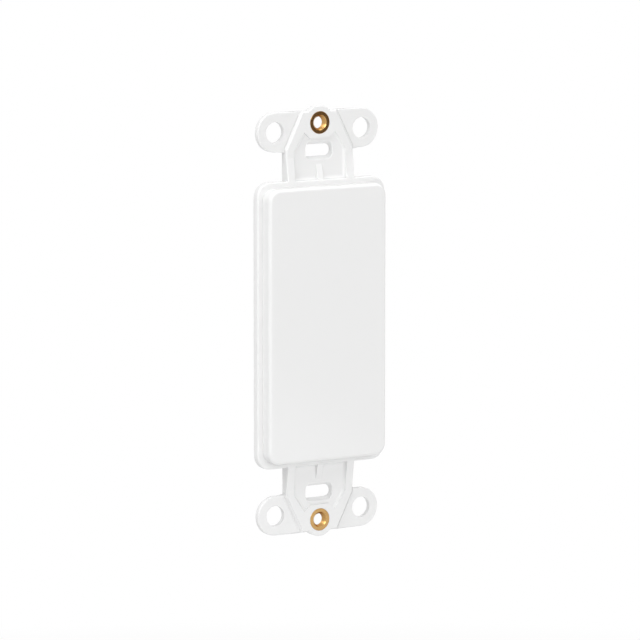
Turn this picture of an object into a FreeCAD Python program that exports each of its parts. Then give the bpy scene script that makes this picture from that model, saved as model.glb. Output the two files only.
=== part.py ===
"""Blank faceplate insert: a moulded plate with a threaded brass insert at each end.

Frame: X to the right, Z up, front towards -Y. The origin is the middle of the plate, on
the plane of the backs of its four ears. "Forward" is a distance from that plane towards
the front, "height" a distance up from the middle.
"""
import FreeCAD, Part
import math
import os
import re

import Sketcher

# Driving dimensions, in millimetres, and one angle in degrees
SIZES = {
    # Raised blank face, which shows in a cover plate's opening
    "face_width": 33.0,
    "face_height": 66.6,
    "face_forward": 6.0,
    "face_corner": 3.0,
    "face_rounding": 0.8,
    # Flange, which lies behind the edge of that opening
    "flange_overhang": 1.45,
    "flange_corner": 3.6,
    "flange_back": 1.0,
    "flange_thickness": 1.8,
    "flange_rounding": 0.4,
    # Moulded wall round the hollow back
    "wall": 1.8,
    # End strap, and the rails along its sides; each "past" is a height above the flange
    "strap_width": 18.8,
    "strap_tip_width": 9.8,
    "shoulder_past": 7.65,
    "rail_width": 2.1,
    "rail_bevel": 0.42,
    "rail_rounding": 0.25,
    "ramp_start": 1.7,
    "floor_thickness": 1.5,
    "floor_fillet": 0.8,
    "recess_clearance": 1.0,
    # Boss that holds the threaded insert
    "screw_past": 13.67,
    "boss_radius": 4.1,
    "boss_forward": 2.0,
    "boss_flat": 5.2,
    "boss_flat_inset": 3.8,
    "boss_chamfer_across": 1.8,
    "boss_chamfer_up": 1.55,
    "boss_rounding": 0.25,
    # Slot for the screw into the wall box
    "slot_past": 6.92,
    "slot_length": 7.4,
    "slot_front_width": 4.3,
    "slot_back_width": 2.9,
    "slot_corner": 1.35,
    "slot_rounding": 0.2,
    # Rib at the root of the strap
    "rib_width": 1.7,
    "rib_length": 3.7,
    # Snap-off ears
    "ear_thickness": 1.25,
    "ear_spacing_across": 24.3,
    "ear_past": 11.8,
    "ear_radius": 4.8,
    "ear_hole": 5.0,
    "ear_flare": 8.0,
    "ear_rounding": 0.3,
    "score_width": 0.4,
    "score_depth": 0.3,
    # Brass insert, moulded into the boss by its waist
    "insert_diameter": 5.5,
    "insert_waist": 5.1,
    "waist_length": 0.6,
    "thread_bore": 2.84,
    "countersink": 4.4,
    "countersink_depth": 0.4,
    "relief": 4.0,
    "relief_depth": 0.5,
}

# Sizes that follow from the driving ones
DERIVED = {
    "flange_width": "=face_width + 2 * flange_overhang",
    "flange_height": "=face_height + 2 * flange_overhang",
    "flange_forward": "=flange_back + flange_thickness",
    "flange_edge": "=flange_height / 2",
    "strap_foot": "=face_height / 2 - wall / 2",
    "strap_half": "=strap_width / 2",
    "shoulder_height": "=flange_edge + shoulder_past",
    "screw_height": "=flange_edge + screw_past",
    "slot_height": "=flange_edge + slot_past",
    "ear_height": "=flange_edge + ear_past",
    "strap_tip": "=ear_height + ear_radius",
    "taper_lean": "=(strap_width - strap_tip_width) / 2 / (strap_tip - shoulder_height)",
    "recess_half": "=strap_half - rail_width",
    "recess_shoulder": "=shoulder_height - rail_width / 4",
    "boss_edge": "=screw_height - boss_flat_inset",
    "ear_across": "=ear_spacing_across / 2",
    "tangent_across": "=ear_across - ear_radius * sin(ear_flare * 1deg)",
    "tangent_height": "=ear_height - ear_radius * cos(ear_flare * 1deg)",
    "ear_root": "=tangent_height - (tangent_across - strap_half) * tan(ear_flare * 1deg)",
    "rib_top": "=flange_forward - flange_rounding",
    "slot_round": "=min(slot_corner; 0.95 * slot_back_width / 2)",
    "ear_round": "=min(ear_rounding; 0.9 * score_depth)",
    "waist_start": "=(boss_forward - waist_length) / 2",
}

doc = FreeCAD.newDocument("blank_faceplate_insert")
sheet = doc.addObject("Spreadsheet::Sheet", "Sizes")
for row, (alias, content) in enumerate({**SIZES, **DERIVED}.items(), start=1):
    sheet.set(f"A{row}", alias)
    sheet.set(f"B{row}", str(content))
    sheet.setAlias(f"B{row}", alias)
doc.recompute()


# Helpers: an expression names cells by alias, as in "slot_length / 2"

def bound(expression):
    """The same expression with each alias written as a cell of the sheet."""
    aliases = {**SIZES, **DERIVED}
    return re.sub(r"[a-z_]+", lambda word: f"Sizes.{word[0]}" if word[0] in aliases else word[0], expression)


def amount(expression):
    """Present value of an expression, as a plain number."""
    return float(sheet.evalExpression(bound(expression)))


def add_sketch(body, name, role, forward=None, up=None):
    """Sketch on an origin plane of its own body, with an optional offset."""
    sketch = body.newObject("Sketcher::SketchObject", name)
    plane = next(item for item in body.Origin.OriginFeatures if item.Role == role)
    sketch.AttachmentSupport = [(plane, "")]
    sketch.MapMode = "FlatFace"
    if forward:
        sketch.setExpression(".AttachmentOffset.Base.z", bound(forward))
    if up:
        sketch.setExpression(".AttachmentOffset.Base.y", bound(up))
    return sketch


def constrain(sketch, kind, *arguments, expression):
    """Add a measured constraint and bind it to the sheet."""
    index = sketch.addConstraint(Sketcher.Constraint(kind, *arguments, amount(expression)))
    sketch.setExpression(f"Constraints[{index}]", bound(expression))


def pin(sketch, geometry, point, across, up):
    """Fix one point of the sketch by its coordinates."""
    constrain(sketch, "DistanceX", -1, 1, geometry, point, expression=across)
    constrain(sketch, "DistanceY", -1, 1, geometry, point, expression=up)


def add_outline(sketch, corners):
    """Closed outline of straight lines through corners given as pairs of expressions."""
    places = [FreeCAD.Vector(amount(across), amount(up), 0) for across, up in corners]
    first = sketch.GeometryCount
    for start, end in zip(places, places[1:] + places[:1]):
        sketch.addGeometry(Part.LineSegment(start, end), False)
    lines = list(range(first, first + len(corners)))
    for line, following in zip(lines, lines[1:] + lines[:1]):
        sketch.addConstraint(Sketcher.Constraint("Coincident", line, 2, following, 1))
    for line, (across, up) in zip(lines, corners):
        pin(sketch, line, 1, across, up)


def add_circle(sketch, across, up, diameter):
    centre = FreeCAD.Vector(amount(across), amount(up), 0)
    circle = Part.Circle(centre, FreeCAD.Vector(0, 0, 1), amount(diameter) / 2)
    geometry = sketch.addGeometry(circle, False)
    pin(sketch, geometry, 3, across, up)
    constrain(sketch, "Diameter", geometry, expression=diameter)


def add_rounded_rectangle(sketch, width, height, corner, middle="0"):
    """Rectangle with round corners, centred across the plate, its middle at a height."""
    quarter = math.pi / 2
    radius = amount(corner)
    arcs = []
    for turn, (side, level) in enumerate([(1, 1), (-1, 1), (-1, -1), (1, -1)]):
        across = f"{side} * (({width}) / 2 - ({corner}))"
        up = f"{middle} + {level} * (({height}) / 2 - ({corner}))"
        centre = FreeCAD.Vector(amount(across), amount(up), 0)
        round_corner = Part.Circle(centre, FreeCAD.Vector(0, 0, 1), radius)
        arc = Part.ArcOfCircle(round_corner, turn * quarter, (turn + 1) * quarter)
        arcs.append(sketch.addGeometry(arc, False))
        pin(sketch, arcs[-1], 3, across, up)
        constrain(sketch, "Radius", arcs[-1], expression=corner)
    for arc, following in zip(arcs, arcs[1:] + arcs[:1]):
        start = sketch.getPoint(arc, 2)
        end = sketch.getPoint(following, 1)
        line = sketch.addGeometry(Part.LineSegment(start, end), False)
        sketch.addConstraint(Sketcher.Constraint("Tangent", arc, 2, line, 1))
        sketch.addConstraint(Sketcher.Constraint("Tangent", line, 2, following, 1))


def finish(body, feature):
    """Make a new feature the end of its body."""
    body.Tip = feature
    doc.recompute()
    return feature


def add_pad(body, sketch, name, length, midplane=False, lean=None):
    """Grow the sketch forward, or to both sides of its plane."""
    pad = body.newObject("PartDesign::Pad", name)
    pad.Profile = sketch
    pad.Midplane = midplane
    pad.setExpression("Length", bound(length))
    if lean:
        pad.setExpression("TaperAngle", bound(lean))
    return finish(body, pad)


def add_cut(body, kind, name, sketch, **settings):
    """Take material away, and make sure that some has gone."""
    before = body.Shape.Volume
    cut = body.newObject(f"PartDesign::{kind}", name)
    cut.Profile = sketch
    for setting, content in settings.items():
        if setting in ("Length", "TaperAngle"):
            cut.setExpression(setting, bound(content))
        else:
            setattr(cut, setting, content)
    finish(body, cut)
    if not body.Shape.Volume < before:
        raise RuntimeError(f"{name} takes nothing away")
    return cut


def add_mirror(body, name, features):
    """The same features at the lower end."""
    mirror = body.newObject("PartDesign::Mirrored", name)
    mirror.Originals = features
    mirror.MirrorPlane = (next(item for item in body.Origin.OriginFeatures if item.Role == "XY_Plane"), [""])
    return finish(body, mirror)


def round_edges(body, name, radius, wanted):
    """Round the edges of the body that pass a test on their middle and their extent."""
    base = body.Tip
    names = []
    for index, edge in enumerate(base.Shape.Edges, start=1):
        middle = edge.valueAt((edge.FirstParameter + edge.LastParameter) / 2)
        if wanted(middle, edge.BoundBox):
            names.append(f"Edge{index}")
    if not names:
        raise RuntimeError(f"{name} finds no edge")
    fillet = body.newObject("PartDesign::Fillet", name)
    fillet.Base = (base, names)
    fillet.setExpression("Radius", bound(radius))
    return finish(body, fillet)


# Tolerances of the tests that pick edges, in millimetres
SAME = 0.0001
BEYOND = 0.01


def near(first, second):
    return abs(first - second) < SAME


# Moulded plate: body, flange and straps are one piece of gloss plastic

plate = doc.addObject("PartDesign::Body", "moulded_plate")
plate.Label = "moulded_plate"

# Body with the blank face in front, and the flange round it
sketch = add_sketch(plate, "face_outline", "XZ_Plane")
add_rounded_rectangle(sketch, "face_width", "face_height", "face_corner")
add_pad(plate, sketch, "face_block", "face_forward")

sketch = add_sketch(plate, "flange_outline", "XZ_Plane", forward="flange_back")
add_rounded_rectangle(sketch, "flange_width", "flange_height", "flange_corner")
add_pad(plate, sketch, "flange", "flange_thickness")

round_edges(plate, "face_edge", "face_rounding",
            lambda middle, box: near(box.YMax, -amount("face_forward")))
round_edges(plate, "flange_rim", "flange_rounding",
            lambda middle, box: near(box.YMin, -amount("flange_forward")) and near(box.YLength, 0)
            and max(abs(middle.x) - amount("face_width / 2"),
                    abs(middle.z) - amount("face_height / 2")) > BEYOND)

# Everything from here to the mirror is the upper end only
end_features = []

# Ears: one bar across the strap, and a round end at each side
sketch = add_sketch(plate, "ear_bar_outline", "XZ_Plane")
add_outline(sketch, [
    ("-ear_across", "strap_tip"),
    ("-tangent_across", "tangent_height"),
    ("-strap_half", "ear_root"),
    ("strap_half", "ear_root"),
    ("tangent_across", "tangent_height"),
    ("ear_across", "strap_tip"),
])
end_features.append(add_pad(plate, sketch, "ear_bar", "ear_thickness"))

sketch = add_sketch(plate, "ear_end_outline", "XZ_Plane")
add_circle(sketch, "ear_across", "ear_height", "2 * ear_radius")
add_circle(sketch, "-ear_across", "ear_height", "2 * ear_radius")
end_features.append(add_pad(plate, sketch, "ear_ends", "ear_thickness"))

# Strap: straight beside the body, tapered between the ears, with a bevelled front
strap_corners = [
    ("-strap_half", "strap_foot"),
    ("strap_half", "strap_foot"),
    ("strap_half", "shoulder_height"),
    ("strap_tip_width / 2", "strap_tip"),
    ("-strap_tip_width / 2", "strap_tip"),
    ("-strap_half", "shoulder_height"),
]
sketch = add_sketch(plate, "strap_outline", "XZ_Plane")
add_outline(sketch, strap_corners)
end_features.append(add_pad(plate, sketch, "strap", "ear_thickness"))

sketch = add_sketch(plate, "strap_front_outline", "XZ_Plane", forward="ear_thickness")
add_outline(sketch, strap_corners)
end_features.append(add_pad(plate, sketch, "strap_front", "boss_forward - ear_thickness",
                            lean="-atan(rail_bevel / (boss_forward - ear_thickness))"))

# Boss round the insert
sketch = add_sketch(plate, "boss_outline", "XZ_Plane")
add_circle(sketch, "0", "screw_height", "2 * boss_radius")
end_features.append(add_pad(plate, sketch, "boss", "boss_forward"))

# Ramps that lift the rails to the front of the flange
for side, start in (("left", "-strap_half"), ("right", "recess_half")):
    sketch = add_sketch(plate, f"{side}_ramp_outline", "YZ_Plane", forward=start)
    add_outline(sketch, [
        ("-flange_back", "strap_foot"),
        ("-flange_back", "shoulder_height"),
        ("-ramp_start", "shoulder_height"),
        ("-flange_forward", "flange_edge"),
        ("-flange_forward", "strap_foot"),
    ])
    end_features.append(add_pad(plate, sketch, f"{side}_ramp", "rail_width"))

# Holes in the ears, and the score along which each ear snaps off
sketch = add_sketch(plate, "ear_hole_outline", "XZ_Plane", forward="ear_thickness")
add_circle(sketch, "ear_across", "ear_height", "ear_hole")
add_circle(sketch, "-ear_across", "ear_height", "ear_hole")
end_features.append(add_cut(plate, "Pocket", "ear_holes", sketch, Type="ThroughAll"))

sketch = add_sketch(plate, "score_outline", "XZ_Plane", forward="ear_thickness")
for side in ("", "-"):
    add_outline(sketch, [
        (f"{side}strap_half", "ear_root - score_width"),
        (f"{side}(strap_half + score_width)", "ear_root - score_width"),
        (f"{side}(strap_half + score_width)", "shoulder_height"),
        (f"{side}(strap_tip_width / 2 + score_width - taper_lean * score_width)", "strap_tip + score_width"),
        (f"{side}(strap_tip_width / 2 - taper_lean * score_width)", "strap_tip + score_width"),
        (f"{side}strap_half", "shoulder_height"),
    ])
end_features.append(add_cut(plate, "Pocket", "scores", sketch, Length="score_depth"))

# Seat of the insert, which follows its waist
insert_outside = [
    ("0", "insert_diameter / 2"),
    ("-waist_start", "insert_diameter / 2"),
    ("-waist_start", "insert_waist / 2"),
    ("-waist_start - waist_length", "insert_waist / 2"),
    ("-waist_start - waist_length", "insert_diameter / 2"),
    ("-boss_forward", "insert_diameter / 2"),
]
sketch = add_sketch(plate, "insert_seat_outline", "YZ_Plane", up="screw_height")
add_outline(sketch, insert_outside + [("-boss_forward", "0"), ("0", "0")])
end_features.append(add_cut(plate, "Groove", "insert_seat", sketch, ReferenceAxis=(sketch, ["H_Axis"])))

add_mirror(plate, "lower_end", end_features)

# Recess between the rails: a body of its own with round lower edges, taken away from the
# plate, leaves the inner side of the boss and a fillet round the floor
recess_body = doc.addObject("PartDesign::Body", "recess_body")
sketch = add_sketch(recess_body, "recess_outline", "XZ_Plane", forward="floor_thickness")
add_outline(sketch, [
    ("-recess_half", "flange_edge"),
    ("recess_half", "flange_edge"),
    ("recess_half", "recess_shoulder"),
    ("boss_flat / 2 + boss_chamfer_across", "boss_edge + boss_chamfer_up"),
    ("boss_flat / 2", "boss_edge"),
    ("-boss_flat / 2", "boss_edge"),
    ("-boss_flat / 2 - boss_chamfer_across", "boss_edge + boss_chamfer_up"),
    ("-recess_half", "recess_shoulder"),
])
block = add_pad(recess_body, sketch, "recess_block", "flange_forward - floor_thickness + recess_clearance")
add_mirror(recess_body, "recess_blocks", [block])
round_edges(recess_body, "recess_rounding", "floor_fillet",
            lambda middle, box: near(box.YMax, -amount("floor_thickness")) and near(box.YLength, 0)
            and (near(abs(middle.z), amount("flange_edge"))
                 or abs(middle.x) > amount("boss_flat / 2 + boss_chamfer_across")))

recess = plate.newObject("PartDesign::Boolean", "recess")
recess.Type = "Cut"
recess.setObjects([recess_body])
finish(plate, recess)

# Slot that narrows towards the back
recess_features = []
front_sketch = add_sketch(plate, "slot_front_outline", "XZ_Plane", forward="floor_thickness")
add_rounded_rectangle(front_sketch, "slot_length", "slot_front_width", "slot_round", "slot_height")
back_sketch = add_sketch(plate, "slot_back_outline", "XZ_Plane")
add_rounded_rectangle(back_sketch, "slot_length", "slot_back_width", "slot_round", "slot_height")
recess_features.append(add_cut(plate, "SubtractiveLoft", "slot", front_sketch,
                               Sections=[(back_sketch, [""])], Ruled=True))

# Rib in the middle of the strap's root
sketch = add_sketch(plate, "rib_outline", "YZ_Plane")
add_outline(sketch, [
    ("-flange_back", "strap_foot"),
    ("-flange_back", "flange_edge + rib_length"),
    ("-floor_thickness", "flange_edge + rib_length"),
    ("-rib_top", "flange_edge"),
    ("-rib_top", "strap_foot"),
])
recess_features.append(add_pad(plate, sketch, "rib", "rib_width", midplane=True))

add_mirror(plate, "lower_slot_and_rib", recess_features)

# Hollow back
sketch = add_sketch(plate, "hollow_outline", "XZ_Plane")
add_rounded_rectangle(sketch, "face_width - 2 * wall", "face_height - 2 * wall", "face_corner - wall")
add_cut(plate, "Pocket", "hollow", sketch, Length="face_forward - wall", Reversed=True)

# Round edges of the ears, the bosses, the ramps and the slots

def ear_rim(middle, box):
    """Outer edge of an ear's front, without the edges of its hole and its score."""
    if not (near(box.YMin, -amount("ear_thickness")) and near(box.YLength, 0)):
        return False
    if near(abs(middle.z), amount("strap_tip")):
        return True
    from_hole = math.hypot(abs(middle.x) - amount("ear_across"), abs(middle.z) - amount("ear_height"))
    past_score = abs(middle.x) > amount("strap_half + score_width") + BEYOND
    return past_score and from_hole > amount("ear_hole / 2") + BEYOND


round_edges(plate, "ear_rims", "ear_round", ear_rim)
round_edges(plate, "boss_rims", "boss_rounding",
            lambda middle, box: near(box.YMin, -amount("boss_forward")) and near(box.YLength, 0)
            and abs(middle.z) > amount("strap_tip") + BEYOND)
round_edges(plate, "rail_edges", "rail_rounding",
            lambda middle, box: near(abs(middle.x), amount("strap_half")) and near(box.XLength, 0)
            and near(box.YMin, -amount("flange_forward")) and near(box.YMax, -amount("ramp_start")))
round_edges(plate, "slot_rims", "slot_rounding",
            lambda middle, box: near(box.YMin, -amount("floor_thickness")) and near(box.YLength, 0)
            and abs(middle.x) < amount("slot_length / 2") + BEYOND
            and abs(abs(middle.z) - amount("slot_height")) < amount("slot_front_width / 2") + BEYOND)

# Brass inserts: one profile turned about the screw's axis, placed in each boss
inserts = []
for end, side in (("upper", ""), ("lower", "-")):
    insert = doc.addObject("PartDesign::Body", f"{end}_threaded_insert")
    insert.Label = f"{end}_threaded_insert"
    sketch = add_sketch(insert, f"{end}_insert_outline", "YZ_Plane")
    add_outline(sketch, insert_outside + [
        ("-boss_forward", "countersink / 2"),
        ("countersink_depth - boss_forward", "thread_bore / 2"),
        ("-relief_depth", "thread_bore / 2"),
        ("0", "relief / 2"),
    ])
    turned = insert.newObject("PartDesign::Revolution", f"{end}_insert_turned")
    turned.Profile = sketch
    turned.ReferenceAxis = (sketch, ["H_Axis"])
    finish(insert, turned)
    insert.setExpression(".Placement.Base.z", bound(f"{side}screw_height"))
    inserts.append(insert)
doc.recompute()

# Nothing is written unless every object and every shape is sound
for item in doc.Objects:
    if "Invalid" in item.State or "Error" in item.State:
        raise RuntimeError(f"{item.Name} has state {item.State}")
pieces = [plate] + inserts
for piece in pieces:
    if piece.Shape.isNull() or not piece.Shape.isValid() or len(piece.Shape.Solids) != 1:
        raise RuntimeError(f"{piece.Label} is not one sound solid")

os.makedirs("parts", exist_ok=True)
for piece in pieces:
    piece.Shape.exportStep(f"parts/{piece.Label}.step")
    print(piece.Label, "volume", round(piece.Shape.Volume, 2), "mm3")
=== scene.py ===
import math

import bpy
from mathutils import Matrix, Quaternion, Vector


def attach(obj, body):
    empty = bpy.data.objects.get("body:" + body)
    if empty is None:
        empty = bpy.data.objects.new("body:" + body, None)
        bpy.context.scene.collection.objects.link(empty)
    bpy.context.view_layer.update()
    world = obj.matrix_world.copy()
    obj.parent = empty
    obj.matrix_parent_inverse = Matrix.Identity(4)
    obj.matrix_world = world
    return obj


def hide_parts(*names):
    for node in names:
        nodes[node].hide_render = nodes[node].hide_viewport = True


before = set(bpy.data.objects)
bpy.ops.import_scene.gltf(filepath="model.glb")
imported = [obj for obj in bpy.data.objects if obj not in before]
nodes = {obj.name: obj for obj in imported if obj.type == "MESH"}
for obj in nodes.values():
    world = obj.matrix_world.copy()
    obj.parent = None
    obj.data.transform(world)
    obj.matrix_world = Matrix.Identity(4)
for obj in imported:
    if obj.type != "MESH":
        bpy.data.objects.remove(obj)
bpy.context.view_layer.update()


# The moulded plate is one injection moulding in white gloss plastic: blank face, flange,
# two end straps and four snap-off ears. Both brass inserts are moulded into it.
# Its shape is the CAD node's, but for the score lines of the ears, which are shallower here.

class Signal:
    """A shader socket that takes part in Python arithmetic."""

    def __init__(self, tree, socket=None):
        self.tree = tree
        self.socket = socket

    def node(self, kind, settings, sockets, output=0):
        """Make a node: its settings first, then a value or a link for each socket.

        A socket goes by its name, or by its number where the node repeats the name.
        """
        made = self.tree.nodes.new("ShaderNode" + kind)
        for name, value in settings.items():
            setattr(made, name, value)
        for name, value in sockets.items():
            if isinstance(value, Signal):
                self.tree.links.new(value.socket, made.inputs[name])
            else:
                made.inputs[name].default_value = value
        return Signal(self.tree, made.outputs[output] if made.outputs else None)

    def maths(self, operation, *values):
        return self.node("Math", {"operation": operation}, dict(enumerate(values)))

    def mixed(self, first, second):
        """Colour between two others, by this signal from 0 to 1."""
        sockets = {"Factor": self, 6: (*first, 1.0), 7: (*second, 1.0)}
        return self.node("Mix", {"data_type": "RGBA"}, sockets, output=2)

    def __add__(self, other):
        return self.maths("ADD", self, other)

    __radd__ = __add__

    def __sub__(self, other):
        return self.maths("SUBTRACT", self, other)

    def __rsub__(self, other):
        return self.maths("SUBTRACT", other, self)

    def __mul__(self, other):
        return self.maths("MULTIPLY", self, other)

    __rmul__ = __mul__


def new_finish(name):
    """Empty material, and a signal that makes nodes in it."""
    finish = bpy.data.materials.new(name)
    finish.use_nodes = True
    finish.node_tree.nodes.clear()
    return finish, Signal(finish.node_tree)


bump_height = 0.00001
soft_edge_radius = 0.00015

gloss_white, signal = new_finish("gloss_white_plastic")
place = signal.node("TexCoord", {}, {}, output="Object")
tone = signal.node("TexNoise", {}, {"Vector": place, "Scale": 35.0, "Detail": 2.0})
peel = signal.node("TexNoise", {}, {"Vector": place, "Scale": 700.0, "Detail": 3.0, "Roughness": 0.45})
waves = signal.node("TexNoise", {}, {"Vector": place, "Scale": 60.0, "Detail": 1.0})
soft_edge = signal.node("Bevel", {"samples": 6}, {"Radius": soft_edge_radius})
surface = signal.node("Bump", {}, {
    "Height": peel * 0.3 + waves,
    "Distance": bump_height,
    "Strength": 0.03,
    "Normal": soft_edge,
})
plastic = signal.node("BsdfPrincipled", {}, {
    "Base Color": tone.mixed((0.858, 0.859, 0.857), (0.866, 0.867, 0.865)),
    "Roughness": 0.1 + peel * 0.03,
    "IOR": 1.49,
    "Normal": surface,
})
signal.node("OutputMaterial", {}, {"Surface": plastic})

# The fronts of the ears lie at -1.25 mm, so the score lines go from 0.3 to 0.12 mm deep
score_floor = -0.00095
shallow_score_floor = -0.00113
same_depth = 0.000002
plate_mesh = nodes["moulded_plate"].data.copy()
for vertex in plate_mesh.vertices:
    if abs(vertex.co.y - score_floor) < same_depth:
        vertex.co.y = shallow_score_floor
plate_mesh.materials.clear()
plate_mesh.materials.append(gloss_white)
plate = bpy.data.objects.new("gloss_plate", plate_mesh)
bpy.context.scene.collection.objects.link(plate)
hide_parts("moulded_plate")
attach(plate, "root")


# The two threaded inserts are turned brass, moulded into the bosses of the straps. Each has
# a 6-32 thread cut right through, a countersink in front and a relief behind it. The front
# keeps the fine rings of the lathe tool, and the cut thread is rougher, with painted shade
# that makes its colour darker brown inside the bore.

screw_height = 0.04842
insert_front = -0.002
insert_radius = 0.00275
edge_break = 0.00008
waist_radius = 0.00255
waist_front = -0.0013
waist_back = -0.0007
thread_pitch = 0.000794
crest_radius = 0.00142
thread_depth = 0.0003
countersink_radius = 0.00188
countersink_end = -0.0015
relief_radius = 0.002
relief_end = -0.0005
bore_finish_and_shade_radius = 0.0017
unshaded_face_finish_radius = 0.0019

turned_brass, signal = new_finish("turned_brass")
place = signal.node("TexCoord", {}, {}, output="Object")
parts = signal.node("SeparateXYZ", {}, {"Vector": place})
across, height = (Signal(parts.tree, parts.socket.node.outputs[name]) for name in "XZ")
up = height - signal.maths("SIGN", height) * screw_height
radius = signal.maths("SQRT", across * across + up * up)
ring = signal.node("CombineXYZ", {}, {"X": radius})
rings = signal.node("TexNoise", {}, {"Vector": ring, "Scale": 14000.0, "Detail": 2.0})
grain = signal.node("TexNoise", {}, {"Vector": place, "Scale": 2600.0, "Detail": 3.0})
tarnish = signal.node("TexNoise", {}, {"Vector": place, "Scale": 420.0, "Detail": 3.0})
# Mask: 0 in the bore, which is rougher and darkened by painted shade, 1 on the turned face
face_vs_painted_bore_shade = signal.node("MapRange", {}, {
    "Value": radius,
    "From Min": bore_finish_and_shade_radius,
    "From Max": unshaded_face_finish_radius,
})
surface = signal.node("Bump", {}, {
    "Height": rings * 0.7 + grain * 0.3,
    "Distance": bump_height,
    "Strength": 0.3,
})
# Painted shade: the base colour is darker brown inside the bore, on top of the random tarnish
brass = signal.node("BsdfPrincipled", {}, {
    "Base Color": (tarnish * 0.6 + face_vs_painted_bore_shade * 0.4).mixed((0.42, 0.23, 0.07), (0.72, 0.46, 0.19)),
    "Metallic": 1.0,
    "Roughness": 0.24 - face_vs_painted_bore_shade * 0.14 + rings * 0.06 + grain * 0.04,
    "Normal": surface,
})
signal.node("OutputMaterial", {}, {"Surface": brass})


def bore_radius(depth, turn):
    """Radius of the threaded bore at a depth and a part of a turn."""
    crest_share = 0.2
    flank_share = 0.7
    swing = abs(2.0 * ((depth / thread_pitch + turn) % 1.0) - 1.0)
    cut = min(max((swing - crest_share) / flank_share, 0.0), 1.0)
    front = (countersink_end - depth) / (countersink_end - insert_front)
    back = (depth - relief_end) / -relief_end
    return max(
        crest_radius + thread_depth * cut,
        crest_radius + front * (countersink_radius - crest_radius),
        crest_radius + back * (relief_radius - crest_radius),
    )


def new_insert(name, height):
    """Turned insert: rings of points down the outside, then back up through the bore."""
    steps = 96
    slices = 100
    crease_angle = 28.0
    outside = [
        (insert_radius - edge_break, insert_front),
        (insert_radius, insert_front + edge_break),
        (insert_radius, waist_front),
        (waist_radius, waist_front),
        (waist_radius, waist_back),
        (insert_radius, waist_back),
        (insert_radius, -edge_break),
        (insert_radius - edge_break, 0.0),
    ]
    depths = [insert_front * index / slices for index in range(slices + 1)]
    rows = len(outside) + len(depths)
    points = []
    for row in range(rows):
        for step in range(steps):
            turn = step / steps
            if row < len(outside):
                reach, depth = outside[row]
            else:
                depth = depths[row - len(outside)]
                reach = bore_radius(depth, turn)
            angle = 2.0 * math.pi * turn
            points.append((reach * math.cos(angle), depth, height + reach * math.sin(angle)))
    faces = []
    for row in range(rows):
        following = (row + 1) % rows
        for step in range(steps):
            beside = (step + 1) % steps
            faces.append((row * steps + step, following * steps + step,
                          following * steps + beside, row * steps + beside))
    mesh = bpy.data.meshes.new(name)
    mesh.from_pydata(points, [], faces)
    mesh.polygons.foreach_set("use_smooth", [True] * len(faces))
    mesh.set_sharp_from_angle(angle=math.radians(crease_angle))
    mesh.materials.append(turned_brass)
    insert = bpy.data.objects.new(name, mesh)
    bpy.context.scene.collection.objects.link(insert)
    return insert


for end, height in (("upper", screw_height), ("lower", -screw_height)):
    insert = new_insert(f"{end}_brass_insert", height)
    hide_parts(f"{end}_threaded_insert")
    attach(insert, "root")


# The studio: a white floor well under the held insert, so that its shadow stays out of the
# photograph's frame, soft lamps, a white surround, and a dark card that the fronts mirror.

floor_level = -0.2
floor_width = 12.0
plain_floor_reach = 0.3
white_floor_reach = 0.6
card_width = 0.3
card_tilt = 22.0
ambient = 0.345


def new_card(name, width, middle, facing, tilt=0.0):
    """Flat square that faces a point, turned in its own plane by an angle in degrees."""
    reach = width / 2
    corners = [(-reach, -reach, 0), (reach, -reach, 0), (reach, reach, 0), (-reach, reach, 0)]
    mesh = bpy.data.meshes.new(name)
    mesh.from_pydata(corners, [], [(0, 1, 2, 3)])
    card = bpy.data.objects.new(name, mesh)
    card.location = middle
    aimed = (Vector(facing) - Vector(middle)).to_track_quat("Z", "Y")
    turned = aimed @ Quaternion((0, 0, 1), math.radians(tilt))
    card.rotation_euler = turned.to_euler()
    bpy.context.scene.collection.objects.link(card)
    return card


def direct_view(signal):
    """1 for what the camera sees itself or in a mirror or through glass, otherwise 0."""
    path = signal.node("LightPath", {}, {}).socket.node
    camera, mirror, glass = (Signal(signal.tree, path.outputs[name])
                             for name in ("Is Camera Ray", "Is Glossy Ray", "Is Transmission Ray"))
    return signal.maths("MAXIMUM", signal.maths("MAXIMUM", camera, mirror), glass)


# Seen directly, the floor is plain near the insert and turns pure white farther out
floor_white, signal = new_finish("floor_white")
seen = direct_view(signal)
spot = signal.node("TexCoord", {}, {}, output="Object")
far = signal.node("VectorMath", {"operation": "LENGTH"}, {0: spot}, output="Value")
rise = signal.node("MapRange", {}, {
    "Value": far,
    "From Min": plain_floor_reach,
    "From Max": white_floor_reach,
})
matt = signal.node("BsdfDiffuse", {}, {"Color": (0.8, 0.8, 0.8, 1.0)})
glow = signal.node("Emission", {}, {"Strength": seen * 0.15})
near_floor = signal.node("AddShader", {}, {0: matt, 1: glow})
far_floor = signal.node("Emission", {}, {"Strength": 1.0})
signal.node("OutputMaterial", {}, {
    "Surface": signal.node("MixShader", {}, {0: rise * seen, 1: near_floor, 2: far_floor}),
})

floor = new_card("floor", floor_width, (0.0, 0.0, floor_level), (0.0, 0.0, 1.0))
floor.data.materials.append(floor_white)

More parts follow.
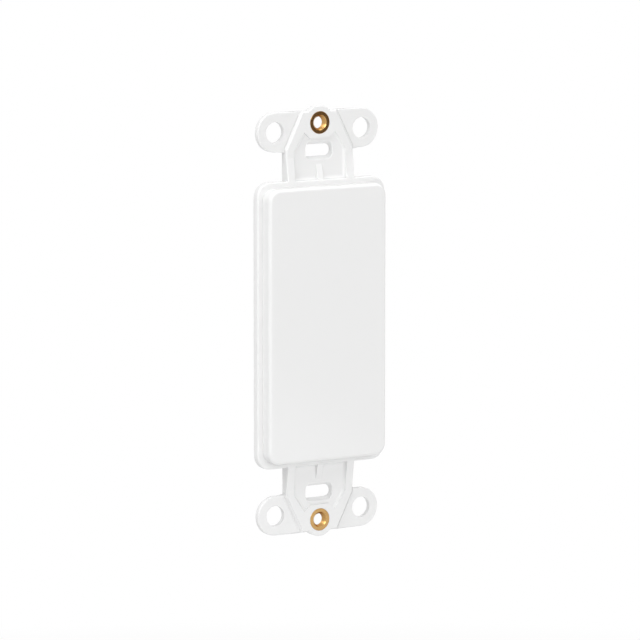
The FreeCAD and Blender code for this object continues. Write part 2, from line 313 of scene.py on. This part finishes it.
# The card's slanting lower edge is what the plain face mirrors two thirds of the way down
card_dark, signal = new_finish("card_dark")
signal.node("OutputMaterial", {}, {
    "Surface": signal.node("Emission", {}, {"Color": (1.0, 0.8, 0.75, 1.0), "Strength": 0.14}),
})
edge_middle = Vector((0.3043, -0.5041, -0.1207))
card = new_card("dark_card", card_width, edge_middle, (0.0, 0.0, 0.0), tilt=card_tilt)
card.location += card.rotation_euler.to_matrix() @ Vector((0.0, card_width / 2, 0.0))
card.data.materials.append(card_dark)
card.visible_camera = False
card.visible_diffuse = False
card.visible_shadow = False

surround = bpy.data.worlds.new("surround")
surround.use_nodes = True
surround.node_tree.nodes.clear()
signal = Signal(surround.node_tree)
background = signal.node("Background", {}, {
    "Color": (1.0, 1.0, 1.0, 1.0),
    "Strength": ambient + direct_view(signal) * (1.0 - ambient),
})
signal.node("OutputWorld", {}, {"Surface": background})
bpy.context.scene.world = surround


def new_lamp(name, power, size, azimuth, elevation):
    """Soft square lamp aimed at the insert, from an azimuth and elevation in degrees."""
    distance = 1.6
    light = bpy.data.lights.new(name, "AREA")
    light.energy = power
    light.size = size
    lamp = bpy.data.objects.new(name, light)
    turn = math.radians(azimuth)
    climb = math.radians(elevation)
    lamp.location = distance * Vector((
        math.sin(turn) * math.cos(climb),
        -math.cos(turn) * math.cos(climb),
        math.sin(climb),
    ))
    lamp.rotation_euler = lamp.location.to_track_quat("Z", "Y").to_euler()
    bpy.context.scene.collection.objects.link(lamp)


new_lamp("high_left_lamp", power=8.8, size=0.9, azimuth=-67.0, elevation=38.0)
new_lamp("top_left_lamp", power=7.6, size=0.9, azimuth=-90.0, elevation=65.0)
new_lamp("top_right_lamp", power=4.4, size=0.9, azimuth=90.0, elevation=65.0)
new_lamp("high_right_lamp", power=2.6, size=0.9, azimuth=60.0, elevation=40.0)
new_lamp("front_lamp", power=13.4, size=1.6, azimuth=0.0, elevation=5.0)

# The camera stands where the photograph's did, to the left of the insert and a little above
picture_width = 640
camera_distance = 1.1145
camera_side = Vector((-0.51427, -0.84586, 0.14177))
view = bpy.data.cameras.new("camera")
view.sensor_width = 36.0
view.lens = 259.17
view.shift_x = 4.44 / picture_width
view.shift_y = 1.19 / picture_width
view.clip_start = 0.05
camera = bpy.data.objects.new("camera", view)
camera.location = camera_distance * camera_side
camera.rotation_euler = camera.location.to_track_quat("Z", "Y").to_euler()
bpy.context.scene.collection.objects.link(camera)
bpy.context.scene.camera = camera
bpy.context.scene.view_settings.view_transform = "Standard"
